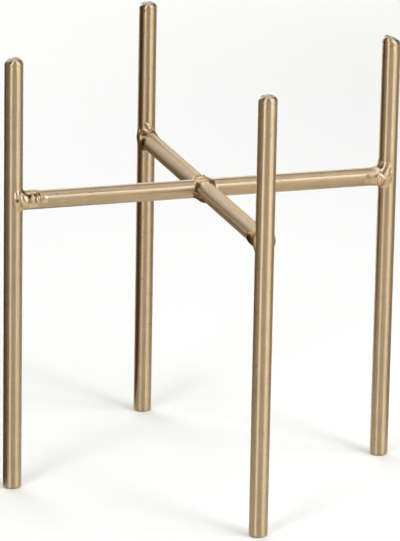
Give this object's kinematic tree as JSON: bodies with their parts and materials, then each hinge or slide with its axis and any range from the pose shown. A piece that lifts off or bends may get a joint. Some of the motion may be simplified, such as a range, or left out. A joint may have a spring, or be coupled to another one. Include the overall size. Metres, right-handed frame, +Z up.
{
  "type": "plant stand",
  "caption": "Small welded plant stand of round rod: upright legs joined by a flat cross that carries the pot.",
  "frame": {"origin": "on the floor, under the crossing of the two bars, midway between the legs", "axes": "+Z up along the legs; the through bar runs along X from the left leg to the right leg; -Y points to the front leg"},
  "size_m": [0.176, 0.176, 0.19],
  "materials": {
    "rod": "satin champagne-brass plating over steel rod, lightly brushed",
    "weld": "plated weld bead, smoother and shinier than the rod"
  },
  "bodies": {
    "root": {"leg_left": "rod", "leg_right": "rod", "leg_front": "rod", "leg_back": "rod", "through_bar": "rod", "stub_front": "rod", "stub_back": "rod", "weld_left": "weld", "weld_right": "weld", "weld_front": "weld", "weld_back": "weld", "weld_centre_front": "weld", "weld_centre_back": "weld"}
  },
  "joints": []
}
